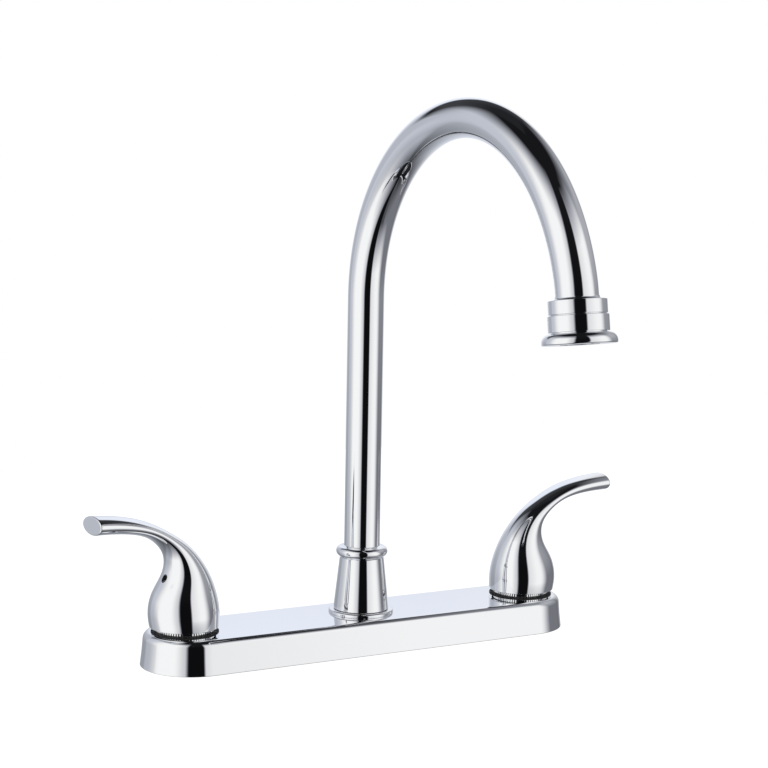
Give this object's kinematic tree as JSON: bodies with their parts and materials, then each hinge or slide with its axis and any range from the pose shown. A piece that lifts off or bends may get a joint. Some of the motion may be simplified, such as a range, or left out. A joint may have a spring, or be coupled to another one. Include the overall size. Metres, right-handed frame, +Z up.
{
  "type": "two handle kitchen faucet",
  "caption": "Chrome deck-mounted kitchen faucet with a swivelling gooseneck spout, lever handles on quarter-turn disc valves, a long deck cover and threaded shanks.",
  "frame": {"origin": "on the spout's swivel axis, in the plane where the cover and its gasket meet the sink deck", "axes": "+Z up, +X towards the cold handle, -Y towards the user; levers closed and pointing outwards, spout towards the user"},
  "size_m": [0.311, 0.2367, 0.3344],
  "materials": {
    "chrome": "polished",
    "brass": "satin",
    "copper": "satin",
    "stainless": "satin",
    "rubber": "matte",
    "gasket_foam": "matte",
    "disc_ceramic": "satin",
    "white_plastic": "satin",
    "black_plastic": "matte"
  },
  "bodies": {
    "base": {"deck_cover": "chrome", "deck_gasket": "gasket_foam", "spout_post": "brass", "spout_seals": "rubber", "spout_base_ring": "chrome", "spout_glide_washer": "white_plastic", "hot_valve_body": "brass", "hot_seat_seal": "rubber", "hot_fixed_disc": "disc_ceramic", "hot_cartridge_housing": "white_plastic", "hot_bonnet_nut": "brass", "hot_cover_washer": "rubber", "hot_cover_lock_nut": "chrome", "hot_shank_washer": "black_plastic", "hot_mounting_nut": "black_plastic", "hot_crossover_tube": "copper", "cold_valve_body": "brass", "cold_seat_seal": "rubber", "cold_fixed_disc": "disc_ceramic", "cold_cartridge_housing": "white_plastic", "cold_bonnet_nut": "brass", "cold_cover_washer": "rubber", "cold_cover_lock_nut": "chrome", "cold_shank_washer": "black_plastic", "cold_mounting_nut": "black_plastic", "cold_crossover_tube": "copper"},
    "hot_lever": {"hot_moving_disc": "disc_ceramic", "hot_stem": "brass", "hot_stem_seals": "rubber", "hot_stem_clip": "stainless", "hot_handle": "chrome", "hot_handle_screw": "stainless"},
    "cold_lever": {"cold_moving_disc": "disc_ceramic", "cold_stem": "brass", "cold_stem_seals": "rubber", "cold_stem_clip": "stainless", "cold_handle": "chrome", "cold_handle_screw": "stainless"},
    "spout": {"spout_hub": "chrome", "spout_tube": "chrome", "spout_set_screw": "stainless", "spout_collar": "chrome", "aerator_housing": "chrome", "aerator_washer": "rubber", "aerator_insert": "white_plastic", "aerator_screen": "stainless"}
  },
  "joints": [
    {"name": "spout_swivel", "type": "hinge", "parent": "base", "child": "spout", "pos_m": [0, 0, 0.03], "axis": [0, 0, 1], "continuous": true},
    {"name": "hot_handle_turn", "type": "hinge", "parent": "base", "child": "hot_lever", "pos_m": [-0.1016, 0, 0.03], "axis": [0, 0, 1], "range_deg": [-8.8, 81.2]},
    {"name": "cold_handle_turn", "type": "hinge", "parent": "base", "child": "cold_lever", "pos_m": [0.1016, 0, 0.03], "axis": [0, 0, 1], "range_deg": [-90, 0]}
  ]
}
